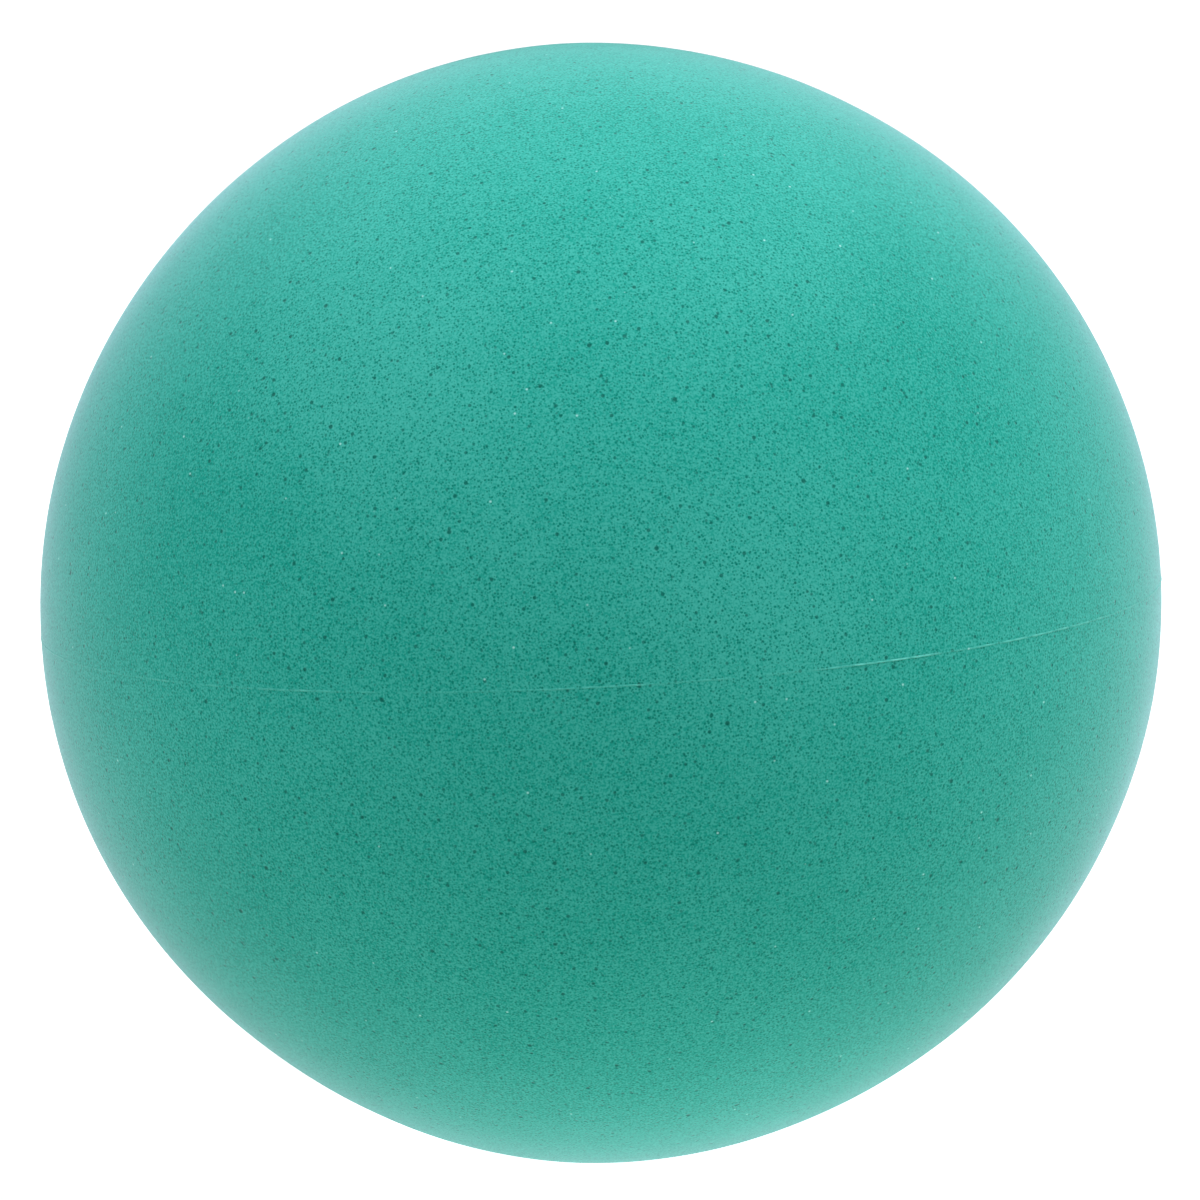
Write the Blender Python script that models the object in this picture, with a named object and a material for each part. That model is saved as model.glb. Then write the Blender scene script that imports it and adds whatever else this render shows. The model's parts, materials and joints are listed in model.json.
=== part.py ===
"""A moulded sponge ball. Soft foam expands inside a round two-part mould: the middle stays open
and light, the layer against each mould half sets as a denser skin, and a trace of foam creeps
into the joint between the halves and stays as a raised line once it is trimmed.

Units are metres and +Z is up. The origin is the ball's centre, the mould parted at Z = 0, and
the ball rests on the flat that its own weight presses into its underside."""

import math

import bmesh
import bpy

# Driving dimensions
BALL_DIAMETER = 0.180
SKIN_THICKNESS = 0.0010
REST_FLAT_DEPTH = 0.0005  # how far the ball's weight presses its underside in
FLASH_THICKNESS = 0.0003  # across the line, along Z
FLASH_HEIGHT = 0.00025  # how far the trimmed line stands out of the skin
LAYER_GAP = 0.0003  # kept between neighbouring solids, which meet on the real ball

# Fineness of the round surfaces
SEGMENTS = 64  # round the ball
RINGS = 12  # from the parting plane to a pole

# Colours are linear RGB: the skin in a soft teal, its trimmed line paler, the open cells darker
SKIN_COLOUR = (0.040, 0.325, 0.265)
FLASH_COLOUR = (0.110, 0.480, 0.410)
CORE_COLOUR = (0.022, 0.235, 0.190)
FOAM_ROUGHNESS = 0.95

# Worked out from the sizes above, going in from the outside
BALL_RADIUS = BALL_DIAMETER / 2
SKIN_INNER_RADIUS = BALL_RADIUS - SKIN_THICKNESS
CORE_RADIUS = SKIN_INNER_RADIUS - LAYER_GAP
SKIN_FLAT_HEIGHT = BALL_RADIUS - REST_FLAT_DEPTH
SKIN_INNER_FLAT_HEIGHT = SKIN_FLAT_HEIGHT - SKIN_THICKNESS
CORE_FLAT_HEIGHT = SKIN_INNER_FLAT_HEIGHT - LAYER_GAP
SKIN_RIM_HEIGHT = FLASH_THICKNESS / 2 + LAYER_GAP
WELD_DISTANCE = LAYER_GAP / 100  # joins the first and last turned points, and those on the axis


def clear_scene():
    for item in list(bpy.data.objects):
        bpy.data.objects.remove(item)


def foam_material(name, colour):
    material = bpy.data.materials.new(name)
    material.use_nodes = True
    shader = material.node_tree.nodes["Principled BSDF"]
    shader.inputs["Base Color"].default_value = (*colour, 1.0)
    shader.inputs["Roughness"].default_value = FOAM_ROUGHNESS
    shader.inputs["Metallic"].default_value = 0.0
    material.diffuse_color = (*colour, 1.0)
    return material


def meridian(radius, from_height, to_height, steps):
    """Points (distance from the axis, height) along a sphere's side between two heights, evenly
    spaced by the angle at the centre."""
    start = math.asin(from_height / radius)
    end = math.asin(to_height / radius)
    angles = [start + (end - start) * i / steps for i in range(steps + 1)]
    return [(radius * math.cos(a), radius * math.sin(a)) for a in angles]


def turned_body(name, profile, material, ring=False):
    """Spins (distance from the axis, height) points about Z into one closed body. A profile is
    open, from one end of the axis to the other, and where it stops short of the axis the body
    gets a flat. A ring's profile is a loop beside the axis."""
    mesh_maker = bmesh.new()
    points = [mesh_maker.verts.new((r, 0.0, z)) for r, z in profile]
    followers = points[1:] + points[:1] if ring else points[1:]
    lines = [mesh_maker.edges.new(pair) for pair in zip(points, followers)]
    bmesh.ops.spin(
        mesh_maker,
        geom=points + lines,
        cent=(0.0, 0.0, 0.0),
        axis=(0.0, 0.0, 1.0),
        angle=math.tau,
        steps=SEGMENTS,
        use_merge=True,
    )
    bmesh.ops.remove_doubles(mesh_maker, verts=mesh_maker.verts, dist=WELD_DISTANCE)
    bmesh.ops.holes_fill(mesh_maker, edges=mesh_maker.edges)
    bmesh.ops.recalc_face_normals(mesh_maker, faces=mesh_maker.faces)

    mesh = bpy.data.meshes.new(name)
    mesh_maker.to_mesh(mesh)
    mesh_maker.free()
    mesh.materials.append(material)
    mesh.shade_smooth()
    mesh.set_sharp_from_angle(angle=math.radians(30))
    body = bpy.data.objects.new(name, mesh)
    bpy.context.scene.collection.objects.link(body)
    return body


def foam_core():
    """The open-celled middle, a ball with the rest flat pressed through to it."""
    profile = meridian(CORE_RADIUS, -CORE_FLAT_HEIGHT, CORE_RADIUS, 2 * RINGS)
    turned_body("foam_core", profile, foam_material("open_cell_foam", CORE_COLOUR))


def skin_half(name, material, direction, outer_top, inner_top):
    """Half of the skin: a bowl with its rim by the parting plane. Direction is 1 for the upper
    half and -1 for the lower, and the tops are the heights where its two faces end."""
    outside = meridian(BALL_RADIUS, SKIN_RIM_HEIGHT, outer_top, RINGS)
    inside = meridian(SKIN_INNER_RADIUS, SKIN_RIM_HEIGHT, inner_top, RINGS)
    profile = [(r, direction * z) for r, z in outside[::-1] + inside]
    turned_body(name, profile, material)


def skins():
    material = foam_material("foam_skin", SKIN_COLOUR)
    skin_half("upper_skin", material, 1, BALL_RADIUS, SKIN_INNER_RADIUS)
    skin_half("lower_skin", material, -1, SKIN_FLAT_HEIGHT, SKIN_INNER_FLAT_HEIGHT)


def parting_flash():
    """The line of foam between the mould halves: a thin ring as deep as the skin, its trimmed
    edge proud of it."""
    inner = SKIN_INNER_RADIUS
    outer = BALL_RADIUS + FLASH_HEIGHT
    half = FLASH_THICKNESS / 2
    profile = [(outer, half), (outer, -half), (inner, -half), (inner, half)]
    material = foam_material("trimmed_foam", FLASH_COLOUR)
    turned_body("parting_flash", profile, material, ring=True)


clear_scene()
foam_core()
skins()
parting_flash()
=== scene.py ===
"""A moulded sponge ball of soft teal foam, standing on a pale studio floor.

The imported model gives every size: the skin's two halves, the line between them and the core. This
script gives them the surface of the real ball, which is a little out of round, full of pinholes,
matt, and marked by the mould."""

import json
import math

import bpy
import numpy as np
from mathutils import Matrix, Vector

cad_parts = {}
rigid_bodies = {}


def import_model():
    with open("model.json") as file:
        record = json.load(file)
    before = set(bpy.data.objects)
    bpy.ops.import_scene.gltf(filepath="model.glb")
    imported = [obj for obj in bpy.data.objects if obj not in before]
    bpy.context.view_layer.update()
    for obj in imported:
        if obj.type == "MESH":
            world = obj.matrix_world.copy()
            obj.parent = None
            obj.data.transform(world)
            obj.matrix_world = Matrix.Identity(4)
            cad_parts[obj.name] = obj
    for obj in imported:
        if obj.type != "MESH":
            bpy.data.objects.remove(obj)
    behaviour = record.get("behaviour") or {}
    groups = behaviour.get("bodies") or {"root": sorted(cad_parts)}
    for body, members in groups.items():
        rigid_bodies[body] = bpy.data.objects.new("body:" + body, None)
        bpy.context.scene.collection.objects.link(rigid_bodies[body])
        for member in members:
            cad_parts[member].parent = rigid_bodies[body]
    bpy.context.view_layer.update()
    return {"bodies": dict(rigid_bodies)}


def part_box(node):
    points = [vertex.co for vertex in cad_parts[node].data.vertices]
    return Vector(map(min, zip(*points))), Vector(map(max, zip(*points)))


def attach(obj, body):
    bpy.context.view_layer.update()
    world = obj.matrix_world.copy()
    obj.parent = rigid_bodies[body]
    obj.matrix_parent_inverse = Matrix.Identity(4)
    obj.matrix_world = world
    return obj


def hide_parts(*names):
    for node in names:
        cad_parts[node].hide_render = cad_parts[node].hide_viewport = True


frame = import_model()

body = next(iter(frame["bodies"]))

# Skin halves
# The outer millimetre of the ball: polyurethane foam that set against the cool wall of a polished
# two-part mould, so that its cells closed up into a soft skin. It is one piece with the foam under
# it. Mould release and trapped gas leave it peppered with pinholes, with larger pores here and there.
BALL_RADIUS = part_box("upper_skin")[1][2]
REST_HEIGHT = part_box("lower_skin")[0][2]
HALF_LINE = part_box("parting_flash")[1][2]
CORE_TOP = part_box("foam_core")[1][2]
# The gap that the solids keep, where the real foam has none
LAYER_GAP = 0.0003
SKIN_INNER_RADIUS = CORE_TOP + LAYER_GAP
SKIN_THICKNESS = BALL_RADIUS - SKIN_INNER_RADIUS

# Lobes round the ball as seen from the front: how many, how high in metres, and turned how far
LOBES = (
    (2, 0.00013, -13), (3, 0.00011, -25), (4, 0.00022, -9), (5, 0.00013, 147),
    (6, 0.00008, -155), (7, 0.00005, 2), (8, 0.00003, 65),
)
# Shallow dimples all over, from waves between these lengths
DIMPLE_HEIGHT = 0.000003
DIMPLE_LENGTHS = (0.010, 0.030)
DIMPLE_WAVES = 40
DIMPLE_SEED = 7
# How far the parting line strays from its plane, and its waves: how many round the ball, turned how far
LINE_WANDER = 0.00003
LINE_WAVES = ((23, 1.0), (41, 2.6), (67, 4.1))

STEPS_ROUND = 480
OUTER_RINGS = 120
INNER_RINGS = 24
# Edges that turn by more degrees than this stay sharp
SHARP_ANGLE = 40

# Pinholes and pores are only a shallow bump, so their colours below are painted shade: the dark of a hole
# deeper than it is wide, and the deeper colour of light that has met its walls many times
SKIN_PALE = "42B4A1"
SKIN_DEEP = "089883"
PINHOLE_PAINTED_SHADE = "007E6A"
PORE_PAINTED_SHADE = "005849"
DUST = "96D9CE"


def swell(direction):
    """How far the foam stands off a true sphere, for unit directions (..., 3). The lobes are
    height times the real part of (x + iz) to the power of the count, turned by an angle, which
    fades to nothing at the ball's front and back. The dimples are a sum of plane sine waves."""
    x, y, z = np.moveaxis(direction, -1, 0)
    flat = x + 1j * z
    total = sum(h * (flat ** n * np.exp(1j * math.radians(turn))).real for n, h, turn in LOBES)
    random = np.random.default_rng(DIMPLE_SEED)
    ways = random.normal(size=(DIMPLE_WAVES, 3))
    ways /= np.linalg.norm(ways, axis=1)[:, None]
    lengths = random.uniform(*DIMPLE_LENGTHS, DIMPLE_WAVES)
    phases = random.uniform(0, math.tau, DIMPLE_WAVES)
    for way, length, phase in zip(ways, lengths, phases):
        total = total + DIMPLE_HEIGHT * np.sin(math.tau * BALL_RADIUS / length * (direction @ way) + phase)
    return total


def line_height(azimuth):
    """Height of the parting line over its plane: the mean of three sine waves round the ball."""
    waves = sum(np.sin(count * azimuth + turn) for count, turn in LINE_WAVES)
    return LINE_WANDER * waves / len(LINE_WAVES)


def layer(azimuth, latitude, depth):
    """Points of the ball's surface, or of a layer this deep under it: the sphere's radius plus the
    swell along each direction, then pressed flat where it would go below the floor."""
    level = np.cos(latitude)
    direction = np.stack([level * np.sin(azimuth), -level * np.cos(azimuth), np.sin(latitude)], axis=-1)
    points = direction * (BALL_RADIUS - depth + swell(direction))[..., None]
    points[..., 2] = np.maximum(points[..., 2], REST_HEIGHT + depth)
    return points


def surface_mesh(name, rings, ends=None):
    """A closed body from rings of points (ring, step round, 3). Neighbouring rings are joined by
    quads. The first and last rings close on the two end points by triangles, or on each other."""
    count, steps = rings.shape[:2]
    here = np.arange(steps)
    after = (here + 1) % steps
    first = np.arange(count if ends is None else count - 1)
    base = first[:, None] * steps
    above = (first[:, None] + 1) % count * steps
    quads = np.stack([base + here, base + after, above + after, above + here], axis=-1).reshape(-1, 4)
    points = rings.reshape(-1, 3)
    faces = quads.tolist()
    if ends is not None:
        points = np.vstack([points, ends])
        start, finish = count * steps, count * steps + 1
        last = (count - 1) * steps
        faces += np.stack([np.full(steps, start), after, here], axis=-1).tolist()
        faces += np.stack([last + here, last + after, np.full(steps, finish)], axis=-1).tolist()
    mesh = bpy.data.meshes.new(name)
    mesh.from_pydata(points, [], faces)
    # The faces point outwards when most of their area looks away from the ball's middle
    corners = points[quads]
    across = np.cross(corners[:, 2] - corners[:, 0], corners[:, 3] - corners[:, 1])
    if np.einsum("ij,ij->", corners.mean(axis=1), across) < 0:
        mesh.flip_normals()
    mesh.shade_smooth()
    mesh.set_sharp_from_angle(angle=math.radians(SHARP_ANGLE))
    piece = bpy.data.objects.new(name, mesh)
    bpy.context.scene.collection.objects.link(piece)
    return piece


def linear(code):
    """An sRGB hex colour as the linear RGBA that a shader takes."""
    srgb = np.array([int(code[i : i + 2], 16) for i in (0, 2, 4)]) / 255
    light = np.where(srgb <= 0.04045, srgb / 12.92, ((srgb + 0.055) / 1.055) ** 2.4)
    return (*light.tolist(), 1.0)


def node(tree, kind, inputs=None, **settings):
    """Adds a shader node. Settings are its own properties. Inputs give each socket, by its name or
    number, a value or the socket that is linked to it."""
    new = tree.nodes.new("ShaderNode" + kind)
    for name, value in settings.items():
        setattr(new, name, value)
    for name, value in (inputs or {}).items():
        if isinstance(value, bpy.types.NodeSocket):
            tree.links.new(value, new.inputs[name])
        else:
            new.inputs[name].default_value = value
    return new


def blank_material(name):
    """A new material with an empty node tree, and that tree."""
    material = bpy.data.materials.new(name)
    material.use_nodes = True
    material.node_tree.nodes.clear()
    return material, material.node_tree


# Sizes of the pattern in millimetres. Each layer of pores is a Voronoi pattern, with a pore wherever
# a cell's centre lies near enough to the surface, so that the pores come in many sizes.
MM = 1000.0
# Mottling, clumps and the foam's own cells: the size, and how many finer octaves ride on it
SHADE_NOISES = ((16.0, 3.0), (2.4, 1.0), (0.33, 0.5))
# How much each of them makes the skin paler, and how much deeper it is all over
MOTTLE_SHARE, CLUMP_SHARE, FOAM_SHARE = 0.3, 0.2, 0.8
DEEPER = 0.15
# The foam noise runs from the deep colour to the pale one between these values
FOAM_RANGE = (0.25, 0.75)
# Pinholes, coarse pinholes and pores: the cell, a middling pore's radius, how dark its painted shade is,
# and how uneven
PORE_LAYERS = ((0.495, 0.150, 1.0, 0.7), (1.5, 0.20, 0.8, 1.2), (4.2, 0.28, 0.9, 0.9))
PORE_DISORDER = 0.85
# The share of its darkness that the shallowest pore loses, times how uneven its layer is
SHALLOW_LOSS = 0.6
# Between these shares of its radius a pore's edge fades into the skin
PORE_SOFT_EDGE = (0.5, 1.5)
# A pore is this deep in metres, and a pinhole is a share of that
PIT_DEPTH = 0.00005
PINHOLE_DEPTH = 0.5
# Specks of dust: the cell, the radius, and the share of the radius that is fully pale
SPECK_CELL, SPECK_RADIUS, SPECK_CORE = 4.7, 0.26, 0.3
# Broad paler and deeper patches, partly the skin's uneven tone and partly painted highlight and painted
# shade where the studio light falls short: degrees from the front towards +X, degrees up, and how much.
# Each fades out over the same reach.
TONE_AND_PAINTED_LIGHT_PATCHES = (
    (16, 6, 0.26), (-45, 16, -0.18), (42, 29, -0.21), (-23, 30, 0.23),
    (-5, 16, 0.14), (21, 42, 0.13), (-29, 48, 0.14), (-41, -22, -0.11),
)
PATCH_REACH = 32.0
# The skin is matt, with a trace of broad gloss. Its nap of broken cells makes a pale, cool bloom
# where it is seen edge on.
SKIN_ROUGHNESS = 0.6
SKIN_IOR = 1.45
SKIN_GLOSS = 0.05
NAP_AMOUNT = 0.48
NAP_ROUGHNESS = 0.37
NAP_TINT = "E6F0FF"


def skin_material(name, paler=None):
    """Matt moulded foam skin, a little uneven in tone, with broad paler and deeper patches that are partly
    painted highlight and painted shade. Light catches its fine nap at the edges as a pale bloom. Its
    pinholes and pores are painted dark, painted shade of holes deeper than they are wide, over a shallow
    bump. Where the piece's trim attribute is 1, the skin is cut and takes the paler colour."""
    material, tree = blank_material(name)
    place = node(tree, "TexCoord").outputs["Object"]
    mm = node(tree, "Mapping", {"Vector": place, "Scale": (MM, MM, MM)}).outputs[0]
    mottle, clump, foam = (
        node(tree, "TexNoise", {"Vector": mm, "Scale": 1 / size, "Detail": octaves}).outputs[0]
        for size, octaves in SHADE_NOISES
    )

    # Each layer's output is 1 on the open skin and falls towards 0 in its deepest pores, where it mixes in
    # their painted shade and sinks their bump
    skin_left = []
    for cell, radius, dark, uneven in PORE_LAYERS:
        cells = node(tree, "TexVoronoi", {"Vector": mm, "Scale": 1 / cell, "Randomness": PORE_DISORDER})
        chance = cells.outputs["Color"]
        smaller = {0: chance, 1: uneven * radius / cell, 2: cells.outputs["Distance"]}
        away = node(tree, "Math", smaller, operation="MULTIPLY_ADD").outputs[0]
        shallower = {0: chance, 1: SHALLOW_LOSS * uneven * dark, 2: 1 - dark}
        bottom = node(tree, "Math", shallower, operation="MULTIPLY_ADD").outputs[0]
        inner, outer = ((share + uneven / 2) * radius / cell for share in PORE_SOFT_EDGE)
        left = node(
            tree,
            "MapRange",
            {"Value": away, "From Min": inner, "From Max": outer, "To Min": bottom},
            interpolation_type="SMOOTHSTEP",
        ).outputs[0]
        skin_left.append(left)
    between_pinholes = skin_left[0]
    between_pores = node(tree, "Math", {0: skin_left[1], 1: skin_left[2]}, operation="MULTIPLY").outputs[0]

    specks = node(tree, "TexVoronoi", {"Vector": mm, "Scale": 1 / SPECK_CELL})
    dust = node(
        tree,
        "MapRange",
        {
            "Value": specks.outputs["Distance"],
            "From Min": SPECK_RADIUS / SPECK_CELL,
            "From Max": SPECK_CORE * SPECK_RADIUS / SPECK_CELL,
        },
        interpolation_type="SMOOTHSTEP",
    ).outputs[0]

    # Shade is 0 for the deep colour and 1 for the pale one
    pale = node(
        tree,
        "MapRange",
        {"Value": foam, "From Min": FOAM_RANGE[0], "From Max": FOAM_RANGE[1]},
        interpolation_type="SMOOTHSTEP",
    ).outputs[0]
    shade = node(tree, "Math", {0: mottle, 1: MOTTLE_SHARE}, operation="MULTIPLY").outputs[0]
    shade = node(tree, "Math", {0: clump, 1: CLUMP_SHARE, 2: shade}, operation="MULTIPLY_ADD").outputs[0]
    shade = node(tree, "Math", {0: pale, 1: FOAM_SHARE, 2: shade}, operation="MULTIPLY_ADD").outputs[0]
    # Broad patches of uneven tone and of painted highlight and painted shade
    for azimuth, latitude, strength in TONE_AND_PAINTED_LIGHT_PATCHES:
        turn, up = math.radians(azimuth), math.radians(latitude)
        level = math.cos(up)
        middle = Vector((level * math.sin(turn), -level * math.cos(turn), math.sin(up))) * BALL_RADIUS * MM
        far = node(tree, "VectorMath", {0: mm, 1: middle}, operation="DISTANCE").outputs["Value"]
        patch = node(
            tree,
            "MapRange",
            {"Value": far, "From Min": 0.0, "From Max": PATCH_REACH, "To Min": strength, "To Max": 0.0},
            interpolation_type="SMOOTHSTEP",
        ).outputs[0]
        shade = node(tree, "Math", {0: patch, 1: shade}, operation="ADD").outputs[0]
    shade = node(tree, "Math", {0: shade, 1: DEEPER}, operation="SUBTRACT", use_clamp=True).outputs[0]

    tones = {0: shade, 6: linear(SKIN_DEEP), 7: linear(SKIN_PALE)}
    colour = node(tree, "Mix", tones, data_type="RGBA").outputs[2]
    # Painted shade in the pinholes, then in the pores
    tones = {0: between_pinholes, 6: linear(PINHOLE_PAINTED_SHADE), 7: colour}
    colour = node(tree, "Mix", tones, data_type="RGBA").outputs[2]
    tones = {0: between_pores, 6: linear(PORE_PAINTED_SHADE), 7: colour}
    colour = node(tree, "Mix", tones, data_type="RGBA").outputs[2]
    if paler is not None:
        trim = node(tree, "Attribute", attribute_name="trim").outputs["Fac"]
        colour = node(tree, "Mix", {0: trim, 6: colour, 7: linear(paler)}, data_type="RGBA").outputs[2]
    colour = node(tree, "Mix", {0: dust, 6: colour, 7: linear(DUST)}, data_type="RGBA").outputs[2]

    pits = {0: between_pinholes, 1: PINHOLE_DEPTH, 2: between_pores}
    height = node(tree, "Math", pits, operation="MULTIPLY_ADD").outputs[0]
    normal = node(tree, "Bump", {"Strength": 1.0, "Distance": PIT_DEPTH, "Height": height}).outputs[0]
    shader = node(
        tree,
        "BsdfPrincipled",
        {
            "Base Color": colour,
            "Roughness": SKIN_ROUGHNESS,
            "IOR": SKIN_IOR,
            "Specular IOR Level": SKIN_GLOSS,
            "Sheen Weight": NAP_AMOUNT,
            "Sheen Roughness": NAP_ROUGHNESS,
            "Sheen Tint": linear(NAP_TINT),
            "Normal": normal,
        },
    )
    node(tree, "OutputMaterial", {"Surface": shader.outputs[0]})
    return material


def skin_half(name, cad_node, side, material):
    """A bowl of foam skin. Side is 1 above the parting line and -1 below it. The rings run from the
    outer pole down to the line and from there up the inside to the inner pole."""
    azimuth = np.linspace(0, math.tau, STEPS_ROUND, endpoint=False)
    edge = line_height(azimuth) + side * HALF_LINE
    shells = []
    for depth, rings, near in ((0.0, OUTER_RINGS, -1), (SKIN_THICKNESS, INNER_RINGS, 1)):
        start = np.arcsin(edge / (BALL_RADIUS - depth))
        share = np.linspace(0, 1, rings, endpoint=False)[::near]
        latitude = start + (side * math.pi / 2 - start) * share[:, None]
        shells.append(layer(np.broadcast_to(azimuth, latitude.shape), latitude, depth))
    poles = [layer(np.array(0.0), np.array(side * math.pi / 2), depth) for depth in (0.0, SKIN_THICKNESS)]
    piece = surface_mesh(name, np.concatenate(shells), ends=np.array(poles))
    piece.data.materials.append(material)
    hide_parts(cad_node)
    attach(piece, body)


foam_skin = skin_material("moulded_foam_skin")
skin_half("upper_skin_surface", "upper_skin", 1, foam_skin)
skin_half("lower_skin_surface", "lower_skin", -1, foam_skin)

# Parting line
# Foam that crept between the two mould halves before it set. It is trimmed flush by hand, so what
# is left stands a quarter of a millimetre proud in some places and not at all in others, and it is
# paler than the skin because it is cut.
LINE_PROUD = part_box("parting_flash")[1][0] - BALL_RADIUS
LINE_STEPS = 1440
SECTION_STEPS = 9
TRIMMED = "62C9B5"
# How much of the line is left, by degrees from the front towards +X
LINE_LEFT = (
    (-180, 0.3), (-150, 0.1), (-120, 0.5), (-90, 0.3), (-62, 0.1), (-58, 0.2), (-54, 0.1), (-48, 0.4),
    (-44, 0.0), (-41, 0.3), (-39, 0.1), (-36, 0.3), (-30, 0.5), (-25, 0.1), (-23, 0.3), (-21, 0.0),
    (-14, 0.25), (-8, 0.15), (-4, 0.4), (0, 0.3), (2, 0.5), (5, 0.15), (11, 0.35), (13, 0.0), (17, 0.25),
    (20, 0.1), (22, 0.5), (23.5, 0.5), (25, 0.8), (28, 0.65), (31, 1.0), (33, 0.7), (35, 0.2), (37, 0.3),
    (39.5, 0.6), (41, 0.35), (44.5, 0.7), (46, 0.5), (48, 0.6), (50, 0.5), (52, 0.6), (54, 0.5), (58, 0.5),
    (61, 0.2), (64, 0.4), (70, 0.1), (80, 0.3), (110, 0.6), (140, 0.1), (165, 0.4), (180, 0.3),
)
# The knife's fast ripples: how many round the ball, and what they make of the amount left
RIPPLES = (97, 163, 281)
RIPPLE_MEAN = 0.9
RIPPLE_SWING = 0.7
MOST_LEFT = 1.15


def parting_line():
    """A thin web as deep as the skin with a rounded top. Its section runs from the web's foot up
    one side, over half an ellipse, and down the other side; the top's height follows LINE_LEFT
    with fast ripples from a sum of sines."""
    azimuth = np.linspace(-math.pi, math.pi, LINE_STEPS, endpoint=False)
    degrees, left = np.array(LINE_LEFT).T
    ripple = sum(np.sin(count * azimuth + count) for count in RIPPLES) / len(RIPPLES)
    kept = np.interp(np.degrees(azimuth), degrees, left) * (RIPPLE_MEAN + RIPPLE_SWING * ripple)
    kept = np.clip(kept, 0, MOST_LEFT)
    turn = np.linspace(0, math.pi, SECTION_STEPS)
    across = np.concatenate([[1.0], np.cos(turn), [-1.0]])
    rise = np.concatenate([[0.0], np.sin(turn), [0.0]])
    depth = np.concatenate([[SKIN_THICKNESS], np.zeros(SECTION_STEPS), [SKIN_THICKNESS]])
    height = line_height(azimuth) + across[:, None] * HALF_LINE
    radius = BALL_RADIUS - depth[:, None] + rise[:, None] * LINE_PROUD * kept
    latitude = np.arcsin(height / radius)
    base = layer(np.broadcast_to(azimuth, height.shape), latitude, 0.0)
    rings = base * (radius / BALL_RADIUS)[..., None]
    piece = surface_mesh("parting_line_trimmed", rings)
    trim = piece.data.attributes.new("trim", "FLOAT", "POINT")
    shown = np.sqrt(np.clip(rise, 0, 1))[:, None] * kept
    trim.data.foreach_set("value", np.clip(shown, 0, 1).ravel())
    piece.data.materials.append(skin_material("trimmed_foam_edge", paler=TRIMMED))
    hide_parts("parting_flash")
    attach(piece, body)


parting_line()

# Foam core
# All the volume under the skin: open-celled flexible foam, light and springy, which shows only if
# the ball is cut or torn. Its cells are about a millimetre across with thin struts between them.
CORE_STEPS = 192
CORE_RINGS = 96
# The core fills most of the gap that the solids keep between it and the skin
CORE_CLOSING = 0.00025
CORE_ROUGHNESS = 0.95
STRUT = "2C9A88"
HOLLOW_PAINTED_SHADE = "06584A"
# A cell's size in millimetres, where in it the strut ends and the hollow begins, and its depth in metres
CELL_SIZE = 1.1
STRUT_EDGE = (0.06, 0.2)
CELL_DEPTH = 0.0003


def core_material():
    """Open cells: pale struts where the cells of a Voronoi pattern meet, and inside them hollows painted
    dark, painted shade over a sunken bump.
    """
    material, tree = blank_material("open_cell_foam_core")
    place = node(tree, "TexCoord").outputs["Object"]
    mm = node(tree, "Mapping", {"Vector": place, "Scale": (MM, MM, MM)}).outputs[0]
    cells = node(tree, "TexVoronoi", {"Vector": mm, "Scale": 1 / CELL_SIZE}, feature="DISTANCE_TO_EDGE")
    hollow = node(
        tree,
        "MapRange",
        {"Value": cells.outputs["Distance"], "From Min": STRUT_EDGE[0], "From Max": STRUT_EDGE[1]},
        interpolation_type="SMOOTHSTEP",
    ).outputs[0]
    # The hollows take painted shade
    tones = {0: hollow, 6: linear(STRUT), 7: linear(HOLLOW_PAINTED_SHADE)}
    colour = node(tree, "Mix", tones, data_type="RGBA").outputs[2]
    height = node(tree, "Math", {0: hollow, 1: -1.0}, operation="MULTIPLY").outputs[0]
    normal = node(tree, "Bump", {"Distance": CELL_DEPTH, "Height": height}).outputs[0]
    settings = {"Base Color": colour, "Roughness": CORE_ROUGHNESS, "Normal": normal}
    shader = node(tree, "BsdfPrincipled", settings)
    node(tree, "OutputMaterial", {"Surface": shader.outputs[0]})
    return material


def foam_core():
    """The ball's shape at a depth just inside the skin, from pole to pole."""
    azimuth = np.linspace(0, math.tau, CORE_STEPS, endpoint=False)
    latitude = np.linspace(-math.pi / 2, math.pi / 2, CORE_RINGS + 2)[1:-1, None]
    depth = BALL_RADIUS - CORE_TOP - CORE_CLOSING
    rings = layer(azimuth + 0 * latitude, latitude + 0 * azimuth, depth)
    poles = [layer(np.array(0.0), np.array(side * math.pi / 2), depth) for side in (-1, 1)]
    piece = surface_mesh("open_cell_core", rings, ends=np.array(poles))
    piece.data.materials.append(core_material())
    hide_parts("foam_core")
    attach(piece, body)


foam_core()

# Studio
# A white table, a little greyer in front of the ball, under a broad soft ceiling light. The table glows
# round the spot where the ball stands: painted light, a pool that fills the ball's contact shadow and
# lights its underside, with a faint glow further back. Three softboxes shape the ball from the right, left
# and behind.
FLOOR_SIZE = 24.0
FLOOR_WHITE = "F7F7ED"
FLOOR_FRONT = "D3D3CC"
FLOOR_ROUGHNESS = 0.9
# Where the floor turns from its front colour to its white one, along Y
FRONT_EDGE = (-0.14, -0.06)
# How strongly the painted glow lights the table under the ball, and further off towards the back
PAINTED_GLOW_UNDER_BALL = 1.15
PAINTED_GLOW_FAR = 0.09
PAINTED_GLOW_TINT = "FFF0FA"
# How far from the middle the painted glow begins to fade, and where it has faded
PAINTED_GLOW_EDGE = (0.035, 0.105)
LIGHT_TINT = "F4F4FF"
CEILING_LIGHT = 2.05
# Sines of the angles over the horizon between which the ceiling light comes up to full strength
CEILING_START = (0.40, 0.85)
SOFTBOX_SIZE = 1.2
# Where each softbox stands, in metres from the ball's middle, and its watts
SOFTBOXES = {
    "softbox_right": ((1.1, 0.0, 1.2), 14.7),
    "softbox_left": ((-1.1, 0.0, 1.2), 5.7),
    "softbox_behind": ((0.0, 1.5, 0.8), 8.6),
}


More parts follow.
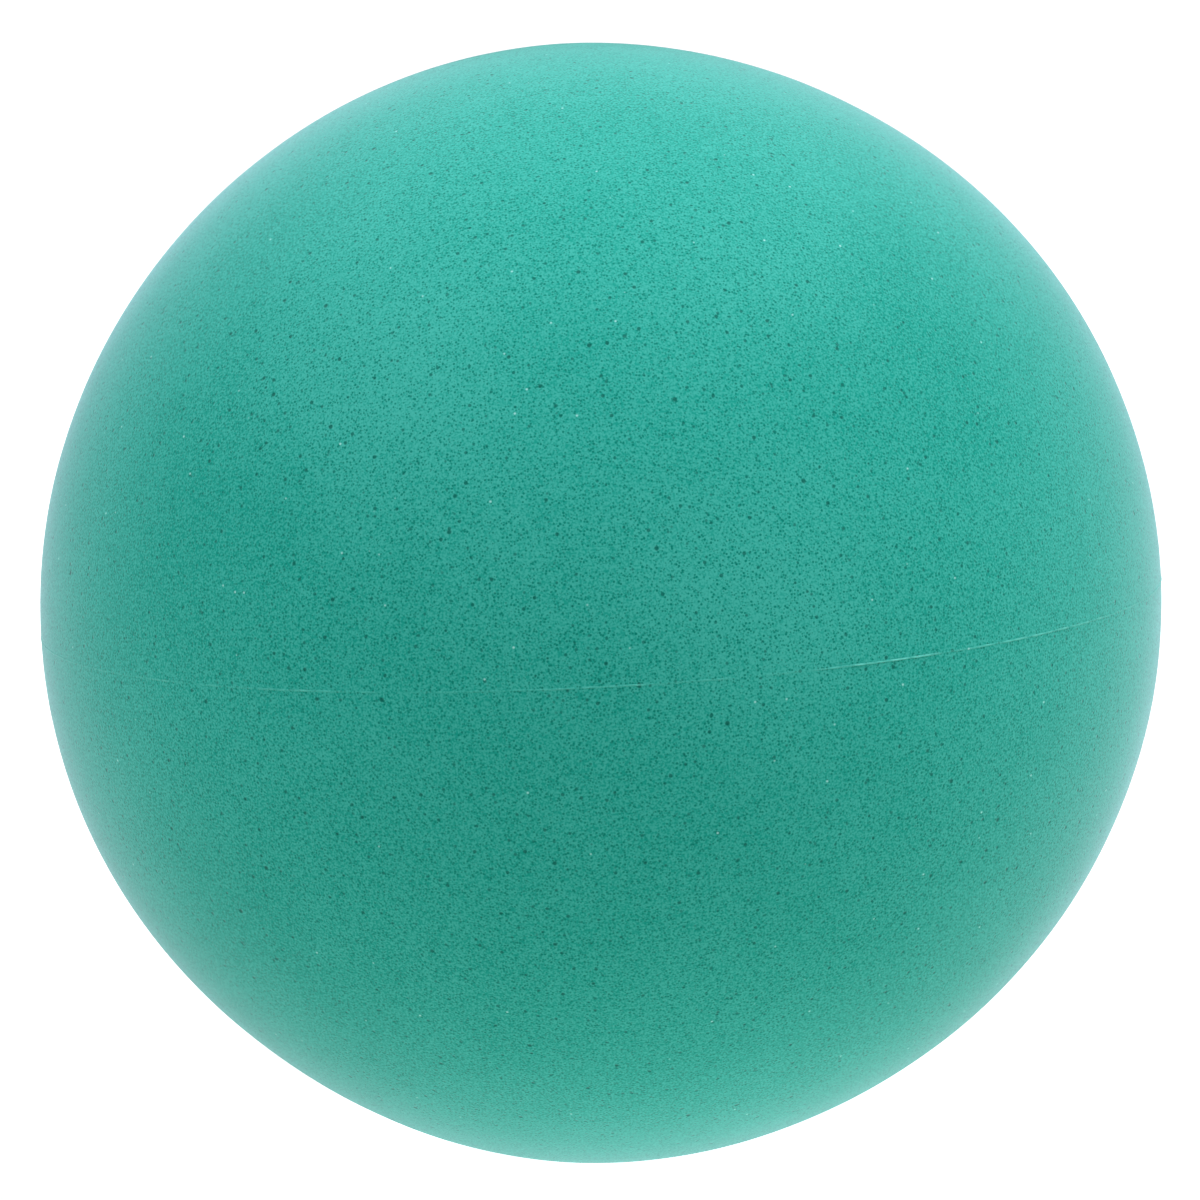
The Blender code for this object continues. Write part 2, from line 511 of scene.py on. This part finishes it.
def floor():
    """A flat square at the height of the ball's rest face. It glows round the middle, painted light that
    fades out with the distance from it, and its paint goes from the front colour to the white along Y."""
    side = FLOOR_SIZE / 2
    corners = [(-side, -side), (side, -side), (side, side), (-side, side)]
    mesh = bpy.data.meshes.new("studio_floor")
    mesh.from_pydata([(x, y, REST_HEIGHT) for x, y in corners], [], [(0, 1, 2, 3)])
    plane = bpy.data.objects.new("studio_floor", mesh)
    bpy.context.scene.collection.objects.link(plane)
    material, tree = blank_material("white_table_with_painted_glow")
    place = node(tree, "TexCoord").outputs["Object"]
    flat = node(tree, "VectorMath", {0: place, 1: (1.0, 1.0, 0.0)}, operation="MULTIPLY").outputs[0]
    reach = node(tree, "VectorMath", {0: flat}, operation="LENGTH").outputs["Value"]
    along = node(tree, "SeparateXYZ", {0: place}).outputs["Y"]
    back = node(
        tree,
        "MapRange",
        {"Value": along, "From Min": FRONT_EDGE[0], "From Max": FRONT_EDGE[1]},
        interpolation_type="SMOOTHSTEP",
    ).outputs[0]
    far = node(tree, "Math", {0: back, 1: PAINTED_GLOW_FAR}, operation="MULTIPLY").outputs[0]
    # Painted glow: a pool of light under the ball and a faint one towards the back
    painted_glow = node(
        tree,
        "MapRange",
        {
            "Value": reach,
            "From Min": PAINTED_GLOW_EDGE[0],
            "From Max": PAINTED_GLOW_EDGE[1],
            "To Min": PAINTED_GLOW_UNDER_BALL,
            "To Max": far,
        },
        interpolation_type="SMOOTHSTEP",
    ).outputs[0]
    tones = {0: back, 6: linear(FLOOR_FRONT), 7: linear(FLOOR_WHITE)}
    paint = node(tree, "Mix", tones, data_type="RGBA").outputs[2]
    settings = {"Base Color": paint, "Roughness": FLOOR_ROUGHNESS, "Emission Strength": painted_glow}
    shader = node(tree, "BsdfPrincipled", {**settings, "Emission Color": linear(PAINTED_GLOW_TINT)})
    node(tree, "OutputMaterial", {"Surface": shader.outputs[0]})
    mesh.materials.append(material)


def room():
    """A sky whose light depends on height alone: dark round the horizon, then a smooth step up to
    the ceiling's full light."""
    world = bpy.data.worlds.new("white_room")
    bpy.context.scene.world = world
    world.use_nodes = True
    tree = world.node_tree
    tree.nodes.clear()
    way = node(tree, "TexCoord").outputs["Generated"]
    height = node(tree, "SeparateXYZ", {0: way}).outputs["Z"]
    light = node(
        tree,
        "MapRange",
        {
            "Value": height,
            "From Min": CEILING_START[0],
            "From Max": CEILING_START[1],
            "To Min": 0.0,
            "To Max": CEILING_LIGHT,
        },
        interpolation_type="SMOOTHSTEP",
    ).outputs[0]
    background = node(tree, "Background", {"Color": linear(LIGHT_TINT), "Strength": light})
    node(tree, "OutputWorld", {"Surface": background.outputs[0]})


def softbox(name, place, watts):
    """A square lamp that faces the ball."""
    lamp = bpy.data.lights.new(name, "AREA")
    lamp.shape = "SQUARE"
    lamp.size = SOFTBOX_SIZE
    lamp.energy = watts
    lamp.color = linear(LIGHT_TINT)[:3]
    light = bpy.data.objects.new(name, lamp)
    light.location = place
    light.rotation_euler = (-Vector(place)).to_track_quat("-Z", "Y").to_euler()
    bpy.context.scene.collection.objects.link(light)


floor()
room()
for name, (place, watts) in SOFTBOXES.items():
    softbox(name, place, watts)

# Camera
# A long lens a little over a metre away, 8 degrees above the parting plane. The ball lies with its
# parting plane 3 degrees off level, so the camera is turned by as much and the floor stays true.
CAMERA_DISTANCE = 1.10
CAMERA_ELEVATION = 8.06
CAMERA_ROLL = 3.06
SENSOR_WIDTH = 0.036
IMAGE_PIXELS = 1200
BALL_RADIUS_PIXELS = 559.2
LENS_REACH = 100.0
# How far the ball's centre stands right of the middle of the picture and below it
OFF_MIDDLE_PIXELS = (0.6, 1.9)


def camera():
    """The lens makes the ball's edge, seen along the tangent cone, as wide as in the photograph."""
    up = math.radians(CAMERA_ELEVATION)
    away = Vector((0.0, -math.cos(up), math.sin(up)))
    edge_tangent = BALL_RADIUS / math.sqrt(CAMERA_DISTANCE ** 2 - BALL_RADIUS ** 2)
    data = bpy.data.cameras.new("camera")
    data.sensor_width = SENSOR_WIDTH * MM
    data.lens = BALL_RADIUS_PIXELS / IMAGE_PIXELS * SENSOR_WIDTH * MM / edge_tangent
    right, below = OFF_MIDDLE_PIXELS
    data.shift_x, data.shift_y = -right / IMAGE_PIXELS, below / IMAGE_PIXELS
    data.clip_end = LENS_REACH
    view = bpy.data.objects.new("camera", data)
    level = (-away).to_track_quat("-Z", "Y").to_matrix()
    turned = level @ Matrix.Rotation(-math.radians(CAMERA_ROLL), 3, "Z")
    view.matrix_world = Matrix.Translation(away * CAMERA_DISTANCE) @ turned.to_4x4()
    bpy.context.scene.collection.objects.link(view)
    bpy.context.scene.camera = view


camera()
bpy.context.scene.view_settings.view_transform = "Standard"
